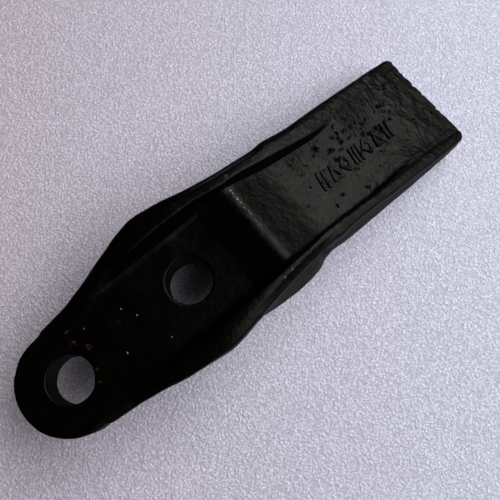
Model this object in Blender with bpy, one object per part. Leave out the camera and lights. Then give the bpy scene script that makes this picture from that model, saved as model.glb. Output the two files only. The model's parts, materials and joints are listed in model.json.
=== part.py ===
"""Bolt-on bucket tooth for a digging bucket: one steel casting with two bolt holes.

Frame: origin at the middle of the bounding box's footprint, on the underside.
+X points at the cutting tip, +Y across the tooth (it is symmetric in Y), +Z up through the bolt holes.
"""
import math

import bmesh
import bpy

MM = 0.001

# Main sizes
LENGTH = 257 * MM          # rear end of the strap to the cutting tip
STRAP_R = 25.4 * MM        # rounding of the strap's rear end, in plan
HOLE_D = 22.2 * MM         # 7/8 in cast hole for a 3/4 in plow bolt
HOLE_PITCH = 68.8 * MM     # spacing of the two bolt holes
LIP_T = 25.4 * MM          # 1 in bucket lip: the seat is this far above the tooth's underside
STRAP_T = 18.6 * MM        # strap thickness at the front bolt hole
TIP_CORNER_R = 4 * MM      # rounding of the tip's corners, in plan
CORNER_EASE = 0.3 * MM     # the corner arcs start this far outside the sides
ABUT_X = 112 * MM          # face that butts against the lip's front edge, from the rear end
PAD_Z = LIP_T + STRAP_T    # top of the flat pad round the front bolt hole

X_REAR = -LENGTH / 2
HOLE_XS = (X_REAR + STRAP_R, X_REAR + STRAP_R + HOLE_PITCH)

# Stations from the rear end to the tip, in mm.
# x: from the rear end.  side: half width.  edge: height of the rail's outer edge.
# top_in: half width at the rail's inner edge.  crest: height of that edge.
# floor: height of the channel floor.  foot: its half width.
# under: height of the underside.  heel: half width of the underside.
# edge, crest and floor are measured from PAD_Z, under from the ground.
STATIONS = (
    # x, side, edge, top_in, crest, floor, foot, under, heel
    (-2, 25.9, -3.6, 20.0, -2.2, -1.7, 14.0, 20.0, 25.3),
    (25, 25.9, -3.4, 20.0, -2.0, -1.6, 15.0, 20.0, 24.6),
    (44, 28.2, -2.4, 22.2, -1.2, -0.9, 19.5, 20.0, 26.2),
    (56, 30.6, -0.2, 24.2, 1.0, -0.3, 21.6, 20.0, 29.0),
    (68, 33.7, 3.0, 25.6, 4.4, 0.0, 22.3, 20.0, 31.8),
    (80, 36.8, 5.4, 26.2, 7.0, 0.0, 22.4, 12.0, 32.6),
    (90, 38.6, 6.6, 26.4, 8.2, 0.0, 22.4, 0.0, 31.6),
    (96, 38.0, 6.9, 26.4, 8.6, 0.0, 22.4, 0.0, 31.6),
    (108, 35.6, 6.8, 26.2, 8.8, 0.0, 22.3, 0.0, 31.6),
    (117, 33.2, 6.2, 25.8, 8.6, 0.3, 22.3, 0.0, 32.4),
    (125, 32.1, 5.6, 25.2, 8.3, 2.6, 22.4, 0.0, 33.2),
    (132, 31.1, 5.0, 24.6, 8.0, 5.0, 22.4, 0.0, 33.5),
    (136, 30.7, 4.5, 24.3, 7.6, 4.4, 22.3, 0.0, 33.7),
    (146, 29.9, 3.2, 23.8, 6.0, -1.0, 22.2, 0.0, 33.3),
    (153, 29.4, 2.2, 22.9, 4.5, -4.4, 21.9, 0.0, 32.5),
    (158, 29.2, 1.4, 22.5, 3.1, -6.6, 21.6, 0.0, 29.8),
    (164, 29.8, 0.4, 22.2, 1.3, -8.4, 21.3, 0.0, 28.6),
    (171, 29.1, -1.8, 21.9, -0.9, -9.7, 21.0, 0.0, 29.4),
    (178, 28.8, -4.0, 21.7, -3.1, -11.1, 20.7, 0.0, 29.8),
    (186, 29.0, -6.4, 21.6, -5.6, -12.7, 20.4, 0.0, 29.9),
    (198, 29.5, -10.2, 21.8, -9.5, -14.8, 20.2, 0.0, 30.0),
    (210, 29.7, -13.8, 22.3, -13.2, -17.2, 20.2, 0.6, 30.1),
    (219, 29.9, -16.6, 22.8, -16.2, -19.2, 20.4, 1.4, 30.2),
    (228, 30.0, -19.4, 23.2, -19.0, -20.7, 21.0, 2.5, 30.2),
    (240, 30.2, -23.0, 24.2, -22.7, -23.3, 22.0, 4.0, 30.3),
    (259, 30.3, -28.9, 25.6, -28.4, -28.3, 23.6, 6.2, 30.4),
)

FLANGE_H = 9 * MM          # height of the heel's side flange above the underside
FLANGE_DRAFT = 2.2 * MM    # how far that flange leans in where the heel stands out
SCOOP_LEAST = 0.6 * MM     # how far the side wall is scooped in above the flange,
SCOOP_MOST = 3.0 * MM      # on the nose and where the heel stands out most
STAND_OUT = 1.0 * MM       # the scoop deepens once the heel is this much less than the side
CREASE_RISE = 0.2          # height of the scoop above the flange, as a share of the side's height
RAIL_LEAN = 0.6            # where the rail's middle lies between its outer edge (0) and its inner edge (1)
FLANGE_SHARE = 0.4         # the flange is never taller than this share of the side
SCOOP_FADE = 0.4           # half way from the crease to the edge, this much of the scoop is left
EDGE_R = 1.6 * MM          # softened upper arrises of the casting
EDGE_CUT = 0.3 * EDGE_R    # how far in from the sharp corner the middle of an arris lies
FOOT_RISE = 0.2 * EDGE_R   # the channel's corner starts this far up, and the rail is crowned as much
BASE_R = 1.2 * MM          # softened lower arrises
ROUND_SIDES = 48           # facets round each bolt hole
ARC_STEPS = 21             # facets round the strap's rear end
CORNER_STEPS = 6           # facets round each corner of the tip
CLEAR = 20 * MM            # how far cutters run past the casting
FLARE_WIDE = 1.5 * STRAP_R  # the guide opens to this half width beside the rear hole,
BODY_WIDE = 2 * STRAP_R    # stands this far out along the body,
LIP_WIDE = 3 * STRAP_R     # and the lip space is this far out on both sides

PAINT = (0.012, 0.012, 0.011, 1.0)
PAINT_ROUGHNESS = 0.42


def clear_scene():
    for obj in list(bpy.data.objects):
        bpy.data.objects.remove(obj, do_unlink=True)


def link(name, bm):
    """Make a mesh object from a bmesh, with its faces pointing out."""
    bmesh.ops.recalc_face_normals(bm, faces=bm.faces[:])
    mesh = bpy.data.meshes.new(name)
    bm.to_mesh(mesh)
    bm.free()
    obj = bpy.data.objects.new(name, mesh)
    bpy.context.collection.objects.link(obj)
    return obj


def hide_cutter(obj):
    obj.hide_render = True
    obj.display_type = "WIRE"
    return obj


def half_section(side, edge, top_in, crest, floor, foot, under, heel):
    """Half of the cross-section, from the middle of the underside up to the middle of the channel floor."""
    flange_top = under + min(FLANGE_H, FLANGE_SHARE * (edge - under))
    scoop = min(max(heel - side + STAND_OUT, SCOOP_LEAST), SCOOP_MOST)
    draft = FLANGE_DRAFT * (scoop - SCOOP_LEAST) / (SCOOP_MOST - SCOOP_LEAST)
    crease = flange_top + CREASE_RISE * (edge - under)
    rail_mid = 0.5 * (top_in + side)
    rail_mid_z = (1 - RAIL_LEAN) * edge + RAIL_LEAN * crest + FOOT_RISE
    return [
        (0.0, under),
        (heel - BASE_R, under),
        (heel, under + BASE_R),
        (heel - draft, flange_top),
        (min(side, heel) - scoop, crease),
        (side - SCOOP_FADE * scoop, 0.5 * (crease + edge)),
        (side, edge - EDGE_R),
        (side - EDGE_CUT, edge - EDGE_CUT),
        (side - EDGE_R, edge),
        (rail_mid, rail_mid_z),
        (top_in + 0.5 * EDGE_R, crest),
        (top_in, crest - EDGE_CUT),
        (foot, floor + FOOT_RISE),
        (foot - EDGE_R, floor),
        (0.0, floor),
    ]


def station_loop(bm, row):
    """One closed ring of vertices across the tooth at a station."""
    x, side, edge, top_in, crest, floor, foot, under, heel = (value * MM for value in row)
    half = half_section(side, PAD_Z + edge, top_in, PAD_Z + crest, PAD_Z + floor, foot, under, heel)
    mirrored = [(-y, z) for y, z in reversed(half[1:-1])]
    return [bm.verts.new((X_REAR + x, y, z)) for y, z in half + mirrored]


def make_casting():
    """Loft the casting through its stations; it runs a little past both ends, which the outline trims."""
    bm = bmesh.new()
    rings = [station_loop(bm, row) for row in STATIONS]
    for ring, following in zip(rings, rings[1:]):
        for i, vert in enumerate(ring):
            j = (i + 1) % len(ring)
            bm.faces.new((vert, ring[j], following[j], following[i]))
    bm.faces.new(list(reversed(rings[0])))
    bm.faces.new(rings[-1])
    return link("tooth_casting", bm)


def arc(cx, cy, radius, start, end, steps):
    """Points on an arc; angles in degrees."""
    turns = [math.radians(start + (end - start) * i / steps) for i in range(steps + 1)]
    return [(cx + radius * math.cos(a), cy + radius * math.sin(a)) for a in turns]


def prism(name, outline, z_low, z_high):
    """Extrude a plan outline between two heights."""
    bm = bmesh.new()
    low = [bm.verts.new((x, y, z_low)) for x, y in outline]
    high = [bm.verts.new((x, y, z_high)) for x, y in outline]
    bm.faces.new(list(reversed(low)))
    bm.faces.new(high)
    for i in range(len(outline)):
        j = (i + 1) % len(outline)
        bm.faces.new((low[i], low[j], high[j], high[i]))
    return link(name, bm)


def outline_guide():
    """Plan outline: round rear end, sides left to the loft, rounded corners at the tip."""
    wide = STATIONS[-1][1] * MM + CORNER_EASE
    tip = -X_REAR
    rear = arc(HOLE_XS[0], 0.0, STRAP_R, 90, 270, ARC_STEPS)
    low_corner = arc(tip - TIP_CORNER_R, TIP_CORNER_R - wide, TIP_CORNER_R, -90, 0, CORNER_STEPS)
    high_corner = arc(tip - TIP_CORNER_R, wide - TIP_CORNER_R, TIP_CORNER_R, 0, 90, CORNER_STEPS)
    flank = tip - 2 * TIP_CORNER_R
    flare = HOLE_XS[0] + STRAP_R
    low_side = [(flare, -FLARE_WIDE), (flare, -BODY_WIDE), (flank, -BODY_WIDE), (flank, -wide)]
    high_side = [(x, -y) for x, y in reversed(low_side)]
    outline = rear + low_side + low_corner + high_corner + high_side
    return prism("outline_guide", outline, -CLEAR, PAD_Z + CLEAR)


def hole_cutter(name, x):
    half_facet = 180 / ROUND_SIDES
    ring = arc(x, 0.0, HOLE_D / 2, half_facet, 360 + half_facet, ROUND_SIDES)[:-1]
    return prism(name, ring, -CLEAR, PAD_Z + CLEAR)


def lip_cutter():
    """The space that the bucket's lip fills: below the strap and behind the abutment."""
    behind, ahead = X_REAR - CLEAR, X_REAR + ABUT_X
    corners = [(behind, -LIP_WIDE), (ahead, -LIP_WIDE), (ahead, LIP_WIDE), (behind, LIP_WIDE)]
    return prism("lip_cutter", corners, -CLEAR, LIP_T)


def add_boolean(obj, cutter, operation):
    modifier = obj.modifiers.new(cutter.name, "BOOLEAN")
    modifier.operation = operation
    modifier.solver = "EXACT"
    modifier.object = hide_cutter(cutter)


def painted_casting():
    """Semi-gloss black paint over a sand-cast steel skin."""
    material = bpy.data.materials.new("black_paint")
    material.use_nodes = True
    shader = material.node_tree.nodes["Principled BSDF"]
    shader.inputs["Base Color"].default_value = PAINT
    shader.inputs["Roughness"].default_value = PAINT_ROUGHNESS
    shader.inputs["Metallic"].default_value = 0.0
    return material


clear_scene()
tooth = make_casting()
tooth.data.materials.append(painted_casting())
add_boolean(tooth, outline_guide(), "INTERSECT")
for hole_name, hole_x in zip(("rear_hole_cutter", "front_hole_cutter"), HOLE_XS):
    add_boolean(tooth, hole_cutter(hole_name, hole_x), "DIFFERENCE")
add_boolean(tooth, lip_cutter(), "DIFFERENCE")
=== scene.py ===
import json
import math
import random

import bmesh
import bpy
import numpy as np
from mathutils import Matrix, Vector


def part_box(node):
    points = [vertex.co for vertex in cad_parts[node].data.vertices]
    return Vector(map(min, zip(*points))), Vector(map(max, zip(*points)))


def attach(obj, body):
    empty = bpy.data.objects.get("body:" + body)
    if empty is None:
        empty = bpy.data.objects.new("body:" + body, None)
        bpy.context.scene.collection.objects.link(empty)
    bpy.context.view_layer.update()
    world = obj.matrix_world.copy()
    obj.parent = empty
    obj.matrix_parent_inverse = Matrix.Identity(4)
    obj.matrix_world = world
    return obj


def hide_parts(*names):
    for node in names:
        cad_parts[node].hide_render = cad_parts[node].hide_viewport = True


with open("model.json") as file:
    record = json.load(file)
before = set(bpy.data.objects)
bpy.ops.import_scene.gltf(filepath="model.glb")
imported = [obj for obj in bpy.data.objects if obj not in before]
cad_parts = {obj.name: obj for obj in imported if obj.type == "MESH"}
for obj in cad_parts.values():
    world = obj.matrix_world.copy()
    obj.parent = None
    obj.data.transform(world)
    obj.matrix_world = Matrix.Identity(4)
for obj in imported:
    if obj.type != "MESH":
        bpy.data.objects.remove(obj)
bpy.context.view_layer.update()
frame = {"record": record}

# ---------------------------------------------------------------------------
# The casting. The real tooth is one piece of alloy steel, poured in a sand mould with the bolt holes cored.
# Here its body is lofted through cross-sections from the strap's round end to the chisel tip, the outline,
# holes and lip space are cut, and the arrises are softened the way sand and grinding leave them.
MM = 0.001
BODY = "root"
NODE = "tooth_casting"
low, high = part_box(NODE)
mounts = {mount["name"]: mount["pos_m"] for mount in frame["record"]["mounts"]}
openings = {space["name"]: np.array(space["box_m"]) for space in frame["record"]["physics"]["openings"]}
tip_x = high[0]
rear_x = -tip_x
pad_z = mounts["bolt_pad"][2]
seat_z = mounts["strap_seat"][2]
heel_x = mounts["lip_abutment"][0]
front_hole_x = openings["front_bolt_hole"][:, 0].mean()
rear_hole_x = openings["rear_bolt_hole"][:, 0].mean()
strap_r = rear_hole_x - rear_x
hole_r = 11.0 * MM
tip_corner_r = 4.5 * MM
skin = 0.3 * MM          # room left inside the CAD's flat faces for the rough skin

# Key sections, in mm. x runs from the strap's end, and heights are above the pad round the front hole.
# side and edge: the rail's outer edge, across and up. top_in and crest: the rail's inner edge.
# foot and floor: the channel's floor. heel and under: the underside, from the ground.
KEYS = (
    # x, side, edge, top_in, crest, floor, foot, under, heel
    (-2, 25.9, -3.6, 20.0, -2.2, -1.7, 14.0, 20.0, 25.3),
    (25, 25.9, -3.4, 20.0, -2.0, -1.6, 15.0, 20.0, 24.6),
    (44, 28.2, -2.4, 22.2, -1.2, -0.9, 19.5, 20.0, 26.2),
    (56, 30.6, -0.2, 24.2, 1.0, -0.3, 21.6, 20.0, 29.0),
    (68, 33.7, 3.0, 25.6, 4.4, 0.0, 22.3, 20.0, 31.8),
    (80, 36.0, 5.4, 26.2, 7.0, 0.0, 22.4, 12.0, 32.6),
    (90, 37.5, 6.6, 26.4, 8.2, 0.0, 22.4, 0.0, 31.6),
    (96, 37.0, 6.9, 26.4, 8.6, 0.0, 22.4, 0.0, 31.6),
    (108, 35.0, 6.8, 26.2, 8.8, 0.0, 22.3, 0.0, 31.6),
    (117, 33.2, 6.2, 25.8, 8.6, 0.3, 22.3, 0.0, 32.4),
    (125, 32.1, 5.6, 25.2, 8.3, 2.6, 22.4, 0.0, 33.2),
    (132, 31.1, 5.0, 24.6, 8.0, 5.0, 22.4, 0.0, 33.5),
    (136, 30.7, 4.5, 24.3, 7.6, 4.4, 22.3, 0.0, 33.7),
    (146, 29.9, 3.2, 23.8, 6.0, -1.0, 22.2, 0.0, 33.3),
    (153, 29.4, 2.2, 22.9, 4.5, -4.4, 21.9, 0.0, 32.5),
    (158, 29.2, 1.4, 22.5, 3.1, -6.6, 21.6, 0.0, 29.8),
    (164, 29.8, 0.4, 22.2, 1.3, -8.4, 21.3, 0.0, 28.6),
    (171, 29.1, -1.8, 21.9, -0.9, -9.7, 21.0, 0.0, 29.4),
    (178, 28.8, -4.0, 21.7, -3.1, -11.1, 20.7, 0.0, 29.8),
    (186, 29.0, -6.4, 21.6, -5.6, -12.7, 20.4, 0.0, 29.9),
    (198, 29.5, -10.2, 21.8, -9.5, -14.8, 20.2, 0.0, 30.0),
    (210, 29.7, -13.8, 22.3, -13.2, -17.2, 20.2, 0.6, 30.1),
    (219, 29.9, -16.6, 22.8, -16.2, -19.2, 20.4, 1.4, 30.2),
    (228, 30.0, -19.4, 23.2, -19.0, -20.7, 21.0, 2.5, 30.2),
    (240, 30.2, -23.0, 24.2, -22.7, -23.3, 22.0, 4.0, 30.3),
    (259, 30.3, -28.9, 25.6, -28.4, -28.3, 23.6, 6.2, 30.4),
)
SECTION_STEP = 1.0       # mm between the lofted sections
BLEND = 1.6              # mm over which one section runs into the next
FLANGE_H, FLANGE_DRAFT = 9.0, 2.2      # the heel's side flange: its height, and how far it leans in
FLANGE_SHARE = 0.4       # the flange is never taller than this share of the side
SCOOP_LEAST, SCOOP_MOST = 0.6, 3.0     # how far the side is scooped in above the flange
STAND_OUT = 1.0          # the scoop is this much deeper than the heel stands out past the side
CREASE_RISE = 0.2        # height of the scoop above the flange, as a share of the side's height
SCOOP_FADE = 0.4         # half way from the scoop to the edge, this much of it is left
RAIL_LEAN = 0.6          # how high the rail's middle lies, from its outer edge (0) to its inner edge (1)
EDGE_R, BASE_R = 1.6, 1.2              # softened upper and lower arrises
EDGE_CUT = 0.3 * EDGE_R  # how far in from the sharp corner the middle of an arris lies
FOOT_RISE = 0.2 * EDGE_R  # the channel's corner starts this far up, and the rail is crowned as much
PLUMP = 0.5              # mm added outside, which the softening takes off again
# The halves of the mould never meet quite true: (x, y) in mm. The channel's core sat towards -Y on the
# nose, the shoulders towards +Y, and each wall dies into the nose at its own place.
CORE_SLIDE = ((118, 0.0), (131, -0.7), (149, -1.1), (165, -1.4), (178, -2.2), (189, -2.8), (202, -2.1),
              (245, 0.0))
SHOULDER_SLIDE = ((68, 0.0), (80, 0.6), (92, 0.9), (106, 0.8), (122, 0.2), (134, 0.0))
# The channel's foot rises by these shares of the wall's height, so each wall narrows to nothing.
RISE_PLUS_Y = ((168, 0.0), (184, 0.28), (195, 0.66), (204, 1.0))
RISE_MINUS_Y = ((192, 0.0), (206, 0.30), (215, 0.68), (222, 1.0))
CHANNEL_FROM = 10        # the first point of a half section that lies on the channel's wall,
FOOT_FROM = 12           # the first on its floor,
FLOOR_POINT = 14         # and a point about half way in along that floor
FLOOR_POINT_AT, FLOOR_POINT_RISE = 0.55, 0.45    # how far out it lies, and its share of the foot's rise
REAR_STEPS, CORNER_STEPS, HOLE_STEPS = 61, 12, 120
CORNER_EASE = 0.2        # mm that the tip's corner arcs stand outside the last key section's side
VOXEL = 0.55 * MM
SOFTEN_ROUNDS = 6
CLEAR = 20 * MM          # how far the cutting tools run past the casting


def blended_sections():
    """The key sections drawn out to one every SECTION_STEP, each value eased into the next."""
    keys = np.array(KEYS)
    xs = np.arange(keys[0, 0], keys[-1, 0] + SECTION_STEP / 2, SECTION_STEP)
    reach = int(3 * BLEND / SECTION_STEP)
    weights = np.exp(-0.5 * (np.arange(-reach, reach + 1) * SECTION_STEP / BLEND) ** 2)
    weights /= weights.sum()
    columns = [xs]
    for column in range(1, keys.shape[1]):
        values = np.interp(xs, keys[:, 0], keys[:, column])
        padded = np.pad(values, reach, mode="edge")
        columns.append(np.convolve(padded, weights, mode="valid"))
    return np.stack(columns, axis=1)


def half_section(side, edge, top_in, crest, floor, foot, under, heel):
    """Half of one cross-section in mm, from the middle of the underside to the middle of the channel."""
    flange_top = under + min(FLANGE_H, FLANGE_SHARE * (edge - under))
    scoop = min(max(heel - side + STAND_OUT, SCOOP_LEAST), SCOOP_MOST)
    draft = FLANGE_DRAFT * (scoop - SCOOP_LEAST) / (SCOOP_MOST - SCOOP_LEAST)
    crease = flange_top + CREASE_RISE * (edge - under)
    middle = 0.5 * (top_in + side)
    middle_z = (1 - RAIL_LEAN) * edge + RAIL_LEAN * crest
    return [
        (0.0, under),
        (heel - BASE_R, under),
        (heel, under + BASE_R),
        (heel - draft, flange_top),
        (min(side, heel) - scoop, crease),
        (side - SCOOP_FADE * scoop, 0.5 * (crease + edge)),
        (side, edge - EDGE_R),
        (side - EDGE_CUT, edge - EDGE_CUT),
        (side - EDGE_R, edge),
        (middle, middle_z + FOOT_RISE),
        (top_in + 0.5 * EDGE_R, crest),
        (top_in, crest - EDGE_CUT),
        (foot, floor + FOOT_RISE),
        (foot - EDGE_R, floor),
        (FLOOR_POINT_AT * foot, floor),
        (0.0, floor),
    ]


def mesh_object(name, bm):
    bmesh.ops.recalc_face_normals(bm, faces=bm.faces[:])
    mesh = bpy.data.meshes.new(name)
    bm.to_mesh(mesh)
    bm.free()
    obj = bpy.data.objects.new(name, mesh)
    bpy.context.collection.objects.link(obj)
    return obj


def table_at(x, table):
    """The table's value at x, by straight lines between its rows."""
    return np.interp(x, [row[0] for row in table], [row[1] for row in table])


def lofted_body():
    """Skin the sections from end to end; both ends run past the outline, which trims them."""
    bm = bmesh.new()
    rings = []
    pad = pad_z / MM
    inset = skin / MM
    for x, side, edge, top_in, crest, floor, foot, under, heel in blended_sections():
        half = half_section(side + PLUMP, pad + edge + PLUMP, top_in, pad + crest, pad + floor - inset, foot,
                            under + inset, heel + PLUMP)
        core, shoulder = table_at(x, CORE_SLIDE), table_at(x, SHOULDER_SLIDE)
        points = []
        for hand, share in ((1, table_at(x, RISE_PLUS_Y)), (-1, table_at(x, RISE_MINUS_Y))):
            foot_rise = share * max(crest - floor - EDGE_CUT - FOOT_RISE, 0)
            for i, (y, z) in enumerate(half):
                if FOOT_FROM <= i < FLOOR_POINT:
                    z += foot_rise
                elif i == FLOOR_POINT:
                    z += FLOOR_POINT_RISE * foot_rise
                points.append((hand * y + (core if i >= CHANNEL_FROM else shoulder), z))
        points = points[:len(half)] + points[-2:len(half):-1]    # up the +Y half, back down the -Y half
        rings.append([bm.verts.new((rear_x + x * MM, y * MM, z * MM)) for y, z in points])
    for ring, following in zip(rings, rings[1:]):
        for i, vert in enumerate(ring):
            j = (i + 1) % len(ring)
            bm.faces.new((vert, ring[j], following[j], following[i]))
    bm.faces.new(list(reversed(rings[0])))
    bm.faces.new(rings[-1])
    return mesh_object("casting_body", bm)


def arc(cx, cy, radius, start, end, steps):
    turns = [math.radians(start + (end - start) * i / steps) for i in range(steps + 1)]
    return [(cx + radius * math.cos(a), cy + radius * math.sin(a)) for a in turns]


def prism(name, outline, z_low, z_high):
    bm = bmesh.new()
    bottom = [bm.verts.new((x, y, z_low)) for x, y in outline]
    top = [bm.verts.new((x, y, z_high)) for x, y in outline]
    bm.faces.new(list(reversed(bottom)))
    bm.faces.new(top)
    for i in range(len(outline)):
        j = (i + 1) % len(outline)
        bm.faces.new((bottom[i], bottom[j], top[j], top[i]))
    return mesh_object(name, bm)


def plan_outline():
    """Round strap end, open flanks, and the tip's two rounded corners."""
    tip_wide = (KEYS[-1][1] + CORNER_EASE) * MM
    flare_wide, body_wide = 1.5 * strap_r, 2 * strap_r
    rear = arc(rear_hole_x, 0.0, strap_r, 90, 270, REAR_STEPS)
    flare, flank = rear_hole_x + strap_r, tip_x - 2 * tip_corner_r
    near = [(flare, -flare_wide), (flare, -body_wide), (flank, -body_wide), (flank, -tip_wide)]
    corner_x, corner_y = tip_x - tip_corner_r, tip_wide - tip_corner_r
    low_corner = arc(corner_x, -corner_y, tip_corner_r, -90, 0, CORNER_STEPS)
    high_corner = arc(corner_x, corner_y, tip_corner_r, 0, 90, CORNER_STEPS)
    far = [(x, -y) for x, y in reversed(near)]
    return rear + near + low_corner + high_corner + far


def cut(obj, tool, operation):
    modifier = obj.modifiers.new(tool.name, "BOOLEAN")
    modifier.operation = operation
    modifier.solver = "EXACT"
    modifier.object = tool
    tool.hide_render = True


def settled(obj):
    """Swap the object's mesh for what its modifiers make of it."""
    bpy.context.view_layer.update()
    made = bpy.data.meshes.new_from_object(obj.evaluated_get(bpy.context.evaluated_depsgraph_get()))
    obj.modifiers.clear()
    obj.data = made


tooth = lofted_body()
tools = [prism("plan_tool", plan_outline(), -CLEAR, pad_z + CLEAR)]
cut(tooth, tools[0], "INTERSECT")
half_facet = 180 / HOLE_STEPS
for tool_name, hole_x in (("rear_hole_tool", rear_hole_x), ("front_hole_tool", front_hole_x)):
    ring = arc(hole_x, 0.0, hole_r, half_facet, 360 + half_facet, HOLE_STEPS)[:-1]
    tools.append(prism(tool_name, ring, -CLEAR, pad_z + CLEAR))
    cut(tooth, tools[-1], "DIFFERENCE")
lip_wide = 3 * strap_r
lip_rear, lip_front = rear_x - CLEAR, heel_x + skin
lip = [(lip_rear, -lip_wide), (lip_front, -lip_wide), (lip_front, lip_wide), (lip_rear, lip_wide)]
tools.append(prism("lip_tool", lip, -CLEAR, seat_z + skin))
cut(tooth, tools[-1], "DIFFERENCE")
remesh = tooth.modifiers.new("even_skin", "REMESH")
remesh.mode = "VOXEL"
remesh.voxel_size = VOXEL
soften = tooth.modifiers.new("soften", "SMOOTH")
soften.factor = 0.5
soften.iterations = SOFTEN_ROUNDS
settled(tooth)
for tool in tools:
    bpy.data.objects.remove(tool, do_unlink=True)
tooth.name = "cast_tooth"
tooth.data.shade_smooth()

# The skin. Sand leaves it uneven: broad ripples, fine grain, pits where grains washed in, and wrinkled
# scabs where the mould face lifted near the tip. Raised marks were pressed into the mould. The mesh is made
# finer where these lie, and all of them are pushed into the surface itself.


def lattice_noise(points, size, seed):
    """Smooth noise from -1 to 1: random values on a cubic lattice of that cell size, blended between."""
    scaled = points / size + 1000.0
    cell = np.floor(scaled).astype(np.int64)
    part = scaled - cell
    part = part * part * (3 - 2 * part)
    total = np.zeros(len(points))
    for corner in np.ndindex(2, 2, 2):
        at = cell + np.array(corner)
        mixed = (at[:, 0] * 73856093) ^ (at[:, 1] * 19349663) ^ (at[:, 2] * 83492791) ^ (seed * 2654435761)
        mixed = (mixed ^ (mixed >> 13)) * 1274126177 & 0xFFFFFFFF
        value = ((mixed ^ (mixed >> 16)) & 0xFFFF) / 32767.5 - 1
        share = np.prod(np.where(corner, part, 1 - part), axis=1)
        total += share * value
    return total


def smooth_rise(values, start, end):
    """0 before start, 1 after end, and an S-curve between."""
    t = np.clip((values - start) / (end - start), 0, 1)
    return t * t * (3 - 2 * t)


def finer(obj, x_range, y_range):
    """Split the upward faces within that range (mm) once."""
    bm = bmesh.new()
    bm.from_mesh(obj.data)
    edges = set()
    for face in bm.faces:
        centre = face.calc_center_median()
        x, y = (centre.x - rear_x) / MM, centre.y / MM
        if face.normal.z > 0.5 and x_range[0] < x < x_range[1] and y_range[0] < y < y_range[1]:
            edges.update(face.edges)
    bmesh.ops.subdivide_edges(bm, edges=list(edges), cuts=1, use_grid_fill=True)
    bm.to_mesh(obj.data)
    bm.free()


finer(tooth, (158, 256), (-26, 26))      # the nose
finer(tooth, (168, 230), (-9, 5))        # the raised marks, once more
tooth.data.shade_smooth()

count = len(tooth.data.vertices)
co = np.empty(count * 3)
tooth.data.vertices.foreach_get("co", co)
co = co.reshape(-1, 3)
normal = np.empty(count * 3)
tooth.data.vertex_normals.foreach_get("vector", normal)
normal = normal.reshape(-1, 3)
from_rear = (co[:, 0] - rear_x) / MM
across = co[:, 1] / MM
height = co[:, 2] / MM
plan = np.stack([from_rear, across], axis=1)
upward = smooth_rise(normal[:, 2], 0.4, 0.9)

# Broad ripples all over, each as height in mm, cell in mm and seed, and fine grain on the upward faces.
# relief is in mm throughout.
RIPPLES = ((0.15, 11, 1), (0.08, 4.2, 2), (0.05, 1.7, 3))
GRAIN_RISE, GRAIN_CELL = 0.04, 0.9
relief = GRAIN_RISE * upward * lattice_noise(co, GRAIN_CELL * MM, 7)
for rise, cell_size, seed in RIPPLES:
    relief += rise * lattice_noise(co, cell_size * MM, seed)

# A thin bead where the core met the mould, along the foot of the channel's +Y wall.
BEAD_RISE, BEAD_INSET, BEAD_R = 0.22, 0.9, 0.5
foot_line = table_at(from_rear, [(key[0], key[6]) for key in KEYS]) + table_at(from_rear, CORE_SLIDE)
along_bead = smooth_rise(from_rear, 58, 70) * (1 - smooth_rise(from_rear, 186, 202))
relief += BEAD_RISE * along_bead * upward * np.exp(-((across - foot_line + BEAD_INSET) / BEAD_R) ** 2)

# Scabs and wrinkles near the tip, and a leathery grain over the whole nose. The lattice is stretched a
# little across the tooth, so both kinds of wrinkle are drawn out that way.
FINE_WRINKLE, BROAD_FOLD = 0.12, 0.30
LEATHER_FINE, LEATHER_BROAD, LEATHER_WRINKLE, LEATHER_GRAIN = 0.045, 0.10, 0.025, 0.022
ridged = 1 - 2 * np.abs(lattice_noise(co * np.array([0.8, 0.6, 0.8]), 2.4 * MM, 4))
fold = 1 - 2 * np.abs(lattice_noise(co * np.array([0.7, 0.6, 0.6]), 4.6 * MM, 8))
scab = smooth_rise(from_rear, 222, 236) * (1 - smooth_rise(from_rear, 251, 256)) * upward
scab *= smooth_rise(lattice_noise(co, 10 * MM, 5), -0.45, 0.3) * smooth_rise(across, -24, -6)
relief += scab * (FINE_WRINKLE * ridged + BROAD_FOLD * fold)
on_nose = smooth_rise(from_rear, 158, 172) * (1 - smooth_rise(from_rear, 250, 256)) * upward
leather = LEATHER_FINE * lattice_noise(co, 1.5 * MM, 11) + LEATHER_BROAD * lattice_noise(co, 5 * MM, 12)
relief += on_nose * (LEATHER_WRINKLE * ridged + leather + LEATHER_GRAIN * lattice_noise(co, 0.7 * MM, 13))


def off_stroke(points, start, end):
    """Distance in mm from each plan point to the line between two points."""
    start, end = np.array(start, float), np.array(end, float)
    run = end - start
    share = np.clip((points - start) @ run / max(run @ run, 1e-9), 0, 1)
    return np.hypot(*(points - start - share[:, None] * run).T)


# Raised marks in a row along the nose, plain figures with no meaning: bars, triangles, diamonds and a hatch.
# Each figure is drawn in a box of about -1 to 1, x along the tooth and y across it.
MARK_X0, MARK_STEP, MARK_Y0, MARK_LEAN = 176.6, 7.8, -2.7, 0.03
MARK_HALF_X, MARK_HALF_Y, STROKE_R, STROKE_EDGE, MARK_RISE = 2.9, 4.1, 0.68, 0.24, 1.15
BARS = (((-0.7, -1), (-0.2, 1)), ((0.3, -1), (0.8, 1)))
TRIANGLE = (((-0.9, -0.9), (0.9, -0.9)), ((0.9, -0.9), (0, 1)), ((0, 1), (-0.9, -0.9)))
DIAMOND = (((-0.95, 0), (0, 0.95)), ((0, 0.95), (0.95, 0)), ((0.95, 0), (0, -0.95)),
           ((0, -0.95), (-0.95, 0)))
HATCH = (((-0.9, -1), (-0.5, 1)), ((-0.1, -1), (0.3, 1)), ((0.7, -1), (1.1, 1)))
by_marks = (from_rear > 168) & (from_rear < 232) & (across > -10) & (across < 6)
marked = np.flatnonzero(by_marks & (upward > 0.3))
marks = np.zeros(len(marked))
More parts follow.
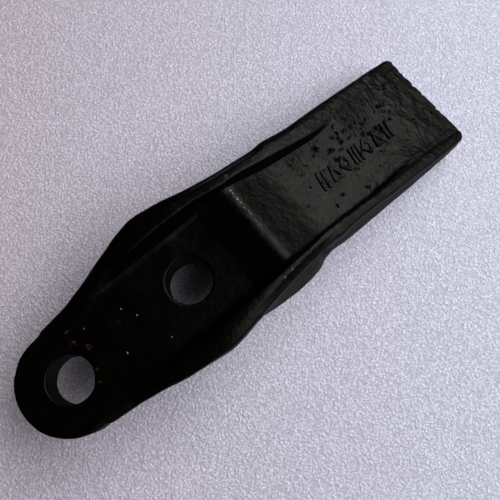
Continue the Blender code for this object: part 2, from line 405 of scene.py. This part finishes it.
for i, figure in enumerate((BARS, TRIANGLE, DIAMOND, HATCH, DIAMOND, TRIANGLE, BARS)):
    mark_x = MARK_X0 + i * MARK_STEP
    mark_y = MARK_Y0 + i * MARK_STEP * MARK_LEAN
    for stroke in figure:
        ends = [(mark_x + MARK_HALF_X * u, mark_y + MARK_HALF_Y * v) for u, v in stroke]
        away = off_stroke(plan[marked], *ends)
        marks = np.maximum(marks, 1 - smooth_rise(away, STROKE_R, STROKE_R + STROKE_EDGE))
uneven = 0.85 + 0.3 * lattice_noise(co[marked], 3 * MM, 9)
relief[marked] += MARK_RISE * marks * uneven

# Pits: short hooked gouges with a raised lip, most of them beside the marks on the +Y side. Each zone
# gives how many, the middle in x and y, and the spread in x and y.
pits = random.Random(23)
nose = np.flatnonzero((from_rear > 160) & (from_rear < 254) & (upward > 0.3))
PIT_ZONES = ((34, 207, 11, 12, 4.5), (10, 188, 9, 6, 4), (8, 196, -12, 16, 3), (9, 232, 8, 9, 8),
             (4, 172, 4, 6, 10))
for amount, zone_x, zone_y, spread_x, spread_y in PIT_ZONES:
    for _ in range(amount):
        at = [pits.gauss(zone_x, spread_x), pits.gauss(zone_y, spread_y)]
        depth, radius = pits.uniform(0.25, 0.80), pits.uniform(0.14, 0.36)
        turn = pits.uniform(0, math.tau)
        lift = pits.uniform(0.02, 0.20)
        for _ in range(pits.choice((1, 2, 2, 3))):
            run = pits.uniform(0.5, 1.5)
            to = [at[0] + run * math.cos(turn), at[1] + run * math.sin(turn)]
            away = off_stroke(plan[nose], at, to)
            relief[nose] -= depth * (1 - smooth_rise(away, 0.3 * radius, 1.4 * radius)) * upward[nose]
            relief[nose] += lift * np.exp(-((away - 2.2 * radius) / radius) ** 2) * upward[nose]
            at, turn = to, turn + pits.uniform(0.7, 1.8)

# One hooked crack on the nose, in from the tip's +Y corner.
CRACK_DEPTH = 0.55
CRACK = (((240.5, 17.5), (237.5, 18.6)), ((237.5, 18.6), (236.5, 20.6)), ((240.5, 17.5), (241.2, 19.8)))
for start, end in CRACK:
    away = off_stroke(plan[nose], start, end)
    relief[nose] -= CRACK_DEPTH * (1 - smooth_rise(away, 0.15, 0.75)) * upward[nose]

co += normal * (relief * MM)[:, None]

# The tip's edge is ragged, with a few chips, each as y, half width and bite.
ragged = smooth_rise(from_rear, 249, 256)
chips = 0.18 * lattice_noise(co * np.array([0.1, 1, 0.3]), 6 * MM, 6) - 0.2
chips += 0.16 * lattice_noise(co * np.array([0.1, 1, 0.6]), 1.5 * MM, 10)
CHIPS = ((20.0, 0.9, 0.5), (16.5, 1.6, 0.6), (9.5, 1.0, 0.7), (2.5, 0.7, 0.4), (-8.8, 0.9, 0.8),
         (-12.5, 1.8, 0.3))
for chip_y, half_width, bite in CHIPS:
    chips -= bite * np.exp(-((across - chip_y) / half_width) ** 2)
co[:, 0] += ragged * chips * MM
co = np.clip(co, np.array(low), np.array(high))
tooth.data.vertices.foreach_set("co", co.ravel())
tooth.data.update()


def soft_spot(spots, shape):
    """1 at each (x, y, radius) spot of the plan, fading to 0; kept to the surfaces that shape picks."""
    total = np.zeros(count)
    for x, y, radius in spots:
        total = np.maximum(total, np.exp(-((from_rear - x) ** 2 + (across - y) ** 2) / radius ** 2))
    return total * shape


def keep(name, values):
    layer = tooth.data.attributes.new(name, "FLOAT", "POINT")
    layer.data.foreach_set("value", np.clip(values, 0, 1).astype(np.float32))


# Where the paint has rubbed through, where rust has come up and where dust has settled, and a painted
# highlight along the ridge's crest.
# The wall layer marks the upright sides and the underside, where the paint is duller.
TOP_FROM = 20            # mm above the ground
RIDGE_X, RIDGE_R, RIDGE_HALF = 135.5, 1.5, 21
RUBBED = ((138, 25.4, 3.0), (134, 26.2, 2.0), (132.6, -28.4, 3.2), (127.7, -28.6, 2.6), (139, -29.2, 2.4),
          (142.5, -31.5, 2.0))
RUSTED = ((36.2, 12.7, 3.4), (40.4, 6.0, 3.6), (36.5, 17.7, 2.6), (34.5, -9.0, 2.6), (37.5, -4.0, 2.0),
          (95.6, 25.6, 3.2), (98.0, 27.0, 2.0), (108.7, 20.8, 0.9), (58, 6, 2.4))
DUSTY = ((66.1, 3.0, 0.8), (62.3, 9.9, 0.7), (52.2, -7.4, 0.9), (26.0, 2.3, 0.5), (56.4, -0.5, 0.5),
         (44, 14, 0.6), (72, -15, 0.5), (102, 24.5, 0.5))
on_top = (height > TOP_FROM) * upward
# Painted highlight: a light dotted line along the whole ridge crest, kept in the same layer as the rubbed
# spots where the paint has worn through.
painted_ridge_highlight = np.exp(-((from_rear - RIDGE_X) / RIDGE_R) ** 2) * (np.abs(across) < RIDGE_HALF)
painted_ridge_highlight *= 0.72 + 0.20 * smooth_rise(across, -12, 10)
rubbed = soft_spot(RUBBED, np.where(height > TOP_FROM, 1.0, 0.0))
keep("bare_and_ridge_highlight", np.maximum(painted_ridge_highlight, 0.94 * rubbed) * on_top)
keep("rust", soft_spot(RUSTED, on_top))
keep("wall", 1 - smooth_rise(normal[:, 2], 0.05, 0.5))
keep("dust", soft_spot(DUSTY, on_top))

# The finish. The casting is dipped or sprayed semi-gloss black over the sand skin. The paint is thin on the
# crests, where the steel shows through, and the ridge's crest also carries a painted highlight in the same
# steel colour. A little rust has come through by the rear hole and on the +Y rail.
paint = bpy.data.materials.new("black_casting_paint")
paint.use_nodes = True
nodes, links = paint.node_tree.nodes, paint.node_tree.links
shader = nodes["Principled BSDF"]
shader.inputs["Specular IOR Level"].default_value = 0.08
shader.inputs["Specular Tint"].default_value = (1.0, 0.97, 0.91, 1)
place = nodes.new("ShaderNodeNewGeometry")


def noise_node(scale, detail, roughness=0.55):
    node = nodes.new("ShaderNodeTexNoise")
    node.inputs["Scale"].default_value = scale
    node.inputs["Detail"].default_value = detail
    node.inputs["Roughness"].default_value = roughness
    links.new(place.outputs["Position"], node.inputs["Vector"])
    return node


def ramp_node(source, stops):
    """A colour ramp fed by source; stops run upwards as (position, colour)."""
    node = nodes.new("ShaderNodeValToRGB")
    node.color_ramp.elements[0].position, node.color_ramp.elements[0].color = stops[0]
    node.color_ramp.elements[1].position, node.color_ramp.elements[1].color = stops[-1]
    for position, color in stops[1:-1]:
        node.color_ramp.elements.new(position).color = color
    links.new(source, node.inputs["Fac"])
    return node


def grey(value):
    return (value, value, value, 1)


def math_node(operation, first, second):
    """One step of arithmetic on two inputs, each a number or another node's output."""
    node = nodes.new("ShaderNodeMath")
    node.operation = operation
    for socket, value in zip(node.inputs, (first, second)):
        if isinstance(value, float):
            socket.default_value = value
        else:
            links.new(value, socket)
    return node.outputs["Value"]


def zone(name, scale, start, end):
    """A kept layer broken up by noise into specks: 0 or 1 with a short edge."""
    layer = nodes.new("ShaderNodeAttribute")
    layer.attribute_name = name
    breakup = noise_node(scale, 2, 0.6)
    worth = math_node("MULTIPLY", layer.outputs["Fac"], breakup.outputs["Fac"])
    return ramp_node(worth, [(start, grey(0)), (end, grey(1))]).outputs["Color"]


def blend(share, under_color, over_color):
    """A flat colour laid over what is there, by share."""
    node = nodes.new("ShaderNodeMix")
    node.data_type = "RGBA"
    links.new(share, node.inputs["Factor"])
    links.new(under_color, node.inputs["A"])
    node.inputs["B"].default_value = over_color
    return node.outputs["Result"]


# Colour: near black, a little browner in patches, with rust, dust and worn-through steel laid over it; the
# steel colour also paints a highlight along the ridge's crest.
BLACK, BROWN_BLACK = (0.0002, 0.0002, 0.0002, 1), (0.0010, 0.0009, 0.0007, 1)
RUST, DUST, STEEL_AND_HIGHLIGHT = (0.034, 0.008, 0.004, 1), (0.22, 0.20, 0.16, 1), (0.30, 0.29, 0.26, 1)
mottle = noise_node(90, 6)
tone = ramp_node(mottle.outputs["Fac"], [(0.35, BLACK), (0.7, BROWN_BLACK)])
bare_and_ridge_highlight = zone("bare_and_ridge_highlight", 2200, 0.51, 0.60)
rust = zone("rust", 800, 0.44, 0.56)
dust = zone("dust", 500, 0.28, 0.36)
rusted = blend(rust, tone.outputs["Color"], RUST)
dusted = blend(dust, rusted, DUST)
# The steel colour here is partly worn paint at the rubbed spots and partly a painted highlight along the
# ridge's crest.
scraped_and_highlit = blend(bare_and_ridge_highlight, dusted, STEEL_AND_HIGHLIGHT)
links.new(scraped_and_highlit, shader.inputs["Base Color"])
metal = math_node("MULTIPLY", bare_and_ridge_highlight, 0.7)
links.new(metal, shader.inputs["Metallic"])

# Gloss: uneven over the paint, duller on the sides and underside, and dull where it has rusted.
GLOSSY, SATIN, DULL_SIDE, DULL_RUST = grey(0.25), grey(0.36), grey(0.62), grey(0.8)
sheen = noise_node(160, 4)
dullness = ramp_node(sheen.outputs["Fac"], [(0.3, GLOSSY), (0.75, SATIN)])
wall = nodes.new("ShaderNodeAttribute")
wall.attribute_name = "wall"
rusty = blend(rust, dullness.outputs["Color"], DULL_RUST)
links.new(blend(wall.outputs["Fac"], rusty, DULL_SIDE), shader.inputs["Roughness"])

# Sand grain under the paint, and the paint's own orange peel.
grain = noise_node(1500, 3, 0.6)
orange_peel = noise_node(420, 3)
grain_bump = nodes.new("ShaderNodeBump")
grain_bump.inputs["Strength"].default_value = 0.34
grain_bump.inputs["Distance"].default_value = 0.0003
links.new(grain.outputs["Fac"], grain_bump.inputs["Height"])
peel_bump = nodes.new("ShaderNodeBump")
peel_bump.inputs["Strength"].default_value = 0.22
peel_bump.inputs["Distance"].default_value = 0.0006
links.new(orange_peel.outputs["Fac"], peel_bump.inputs["Height"])
links.new(grain_bump.outputs["Normal"], peel_bump.inputs["Normal"])
links.new(peel_bump.outputs["Normal"], shader.inputs["Normal"])
tooth.data.materials.clear()
tooth.data.materials.append(paint)
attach(tooth, BODY)
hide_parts(NODE)

# ---------------------------------------------------------------------------
# The floor the tooth lies on: a sheet of pale packing foam, moulded with a fine pebbled face. Its colour
# holds painted light: a darker pinkish shade by the strap and a lighter bluish cast beyond the tip, towards
# the window panel.
FLOOR_HALF = 1.6
floor_mesh = bmesh.new()
bmesh.ops.create_grid(floor_mesh, x_segments=2, y_segments=2, size=FLOOR_HALF)
floor = mesh_object("floor", floor_mesh)
foam = bpy.data.materials.new("pale_foam")
foam.use_nodes = True
nodes, links = foam.node_tree.nodes, foam.node_tree.links
shader = nodes["Principled BSDF"]
shader.inputs["Roughness"].default_value = 0.5
place = nodes.new("ShaderNodeNewGeometry")
pebbles = nodes.new("ShaderNodeTexVoronoi")
pebbles.feature = "SMOOTH_F1"
pebbles.inputs["Scale"].default_value = 720
pebbles.inputs["Smoothness"].default_value = 0.6
wander = noise_node(500, 2)
shift = nodes.new("ShaderNodeVectorMath")
shift.operation = "MULTIPLY_ADD"
links.new(wander.outputs["Color"], shift.inputs[0])
shift.inputs[1].default_value = (0.0022, 0.0022, 0.0)
links.new(place.outputs["Position"], shift.inputs[2])
links.new(shift.outputs["Vector"], pebbles.inputs["Vector"])
specks = noise_node(900, 2, 0.7)
# Painted shade and highlight: the foam's colour follows its own bump height. It is darker in the hollows
# between the pebbles and lighter, past white, on the raised specks.
hollows = math_node("MULTIPLY", pebbles.outputs["Distance"], 0.55)
shade = math_node("SUBTRACT", specks.outputs["Fac"], hollows)
foam_painted_relief_light = ramp_node(shade, [(0.10, grey(0.74)), (0.34, grey(0.93)), (0.52, grey(1.3))])
# Painted light: a colour gradient across the floor towards the window panel. It is darker and pinkish away
# from the panel, and lighter and bluish near it.
window_direction = nodes.new("ShaderNodeVectorMath")
window_direction.operation = "DOT_PRODUCT"
links.new(place.outputs["Position"], window_direction.inputs[0])
window_direction.inputs[1].default_value = (0.76, -0.65, 0.0)
along_window_direction = math_node("ADD", window_direction.outputs["Value"], 0.5)
PAINTED_SHADE_PINK, PAINTED_LIGHT_BLUE = (0.65, 0.575, 0.675, 1), (0.70, 0.695, 0.85, 1)
painted_light_cast = ramp_node(along_window_direction, [(0.36, PAINTED_SHADE_PINK), (0.60, PAINTED_LIGHT_BLUE)])
foam_with_painted_light = nodes.new("ShaderNodeMix")
foam_with_painted_light.data_type = "RGBA"
foam_with_painted_light.blend_type = "MULTIPLY"
foam_with_painted_light.inputs["Factor"].default_value = 1.0
links.new(foam_painted_relief_light.outputs["Color"], foam_with_painted_light.inputs["A"])
links.new(painted_light_cast.outputs["Color"], foam_with_painted_light.inputs["B"])
links.new(foam_with_painted_light.outputs["Result"], shader.inputs["Base Color"])
foam_bump = nodes.new("ShaderNodeBump")
foam_bump.inputs["Strength"].default_value = 0.7
foam_bump.inputs["Distance"].default_value = 0.0012
links.new(shade, foam_bump.inputs["Height"])
links.new(foam_bump.outputs["Normal"], shader.inputs["Normal"])
floor.data.materials.append(foam)

# ---------------------------------------------------------------------------
# Soft studio light: the room is bright high up beyond the tip and dark behind the strap, overhead and low
# down. A large cool panel stands beyond the tip on the -Y side, and a smaller, warmer key panel almost in
# line with the tooth.


def panel(name, place_at, look_at, size, power, color):
    data = bpy.data.lights.new(name, "AREA")
    data.shape = "DISK"
    data.size = size
    data.energy = power
    data.color = color
    lamp = bpy.data.objects.new(name, data)
    bpy.context.collection.objects.link(lamp)
    lamp.location = place_at
    lamp.rotation_euler = (Vector(look_at) - Vector(place_at)).to_track_quat("-Z", "Y").to_euler()


panel("window_panel", (0.62, -0.42, 0.72), (0.0, 0.0, 0.0), 1.0, 6.5, (0.97, 0.98, 1.0))
panel("key_panel", (0.75, 0.17, 0.76), (0.05, 0.0, 0.0), 0.45, 3.0, (1.0, 0.99, 0.96))
room = bpy.data.worlds.new("room")
room.use_nodes = True
nodes, links = room.node_tree.nodes, room.node_tree.links
sky = nodes.new("ShaderNodeTexCoord")
away_from = nodes.new("ShaderNodeVectorMath")
away_from.operation = "DOT_PRODUCT"
links.new(sky.outputs["Generated"], away_from.inputs[0])
away_from.inputs[1].default_value = (-0.58, 0.26, 0.77)
overhead = ramp_node(away_from.outputs["Value"], [(0.28, grey(1.0)), (0.62, grey(0.003))])
split = nodes.new("ShaderNodeSeparateXYZ")
links.new(sky.outputs["Generated"], split.inputs["Vector"])
band = ramp_node(split.outputs["Z"], [(0.54, grey(0.01)), (0.78, grey(1.0))])
both = nodes.new("ShaderNodeMix")
both.data_type = "RGBA"
both.blend_type = "MULTIPLY"
both.inputs["Factor"].default_value = 1.0
links.new(overhead.outputs["Color"], both.inputs["A"])
links.new(band.outputs["Color"], both.inputs["B"])
links.new(both.outputs["Result"], nodes["Background"].inputs["Color"])
nodes["Background"].inputs["Strength"].default_value = 3.3
bpy.context.scene.world = room
bpy.context.scene.view_settings.view_transform = "Standard"

# The camera stands about 0.3 m above the floor, a little out on the -Y side, and looks nearly straight down
# at the middle of the tooth, with the tip up and to the right.
camera_data = bpy.data.cameras.new("camera")
camera_data.lens = 41.8
camera_data.clip_start = 0.01
camera = bpy.data.objects.new("camera", camera_data)
bpy.context.collection.objects.link(camera)
camera.location = (-0.04028, -0.05212, 0.30728)
camera.rotation_euler = [math.radians(turn) for turn in (12.363, 0.290, -40.477)]
bpy.context.scene.camera = camera
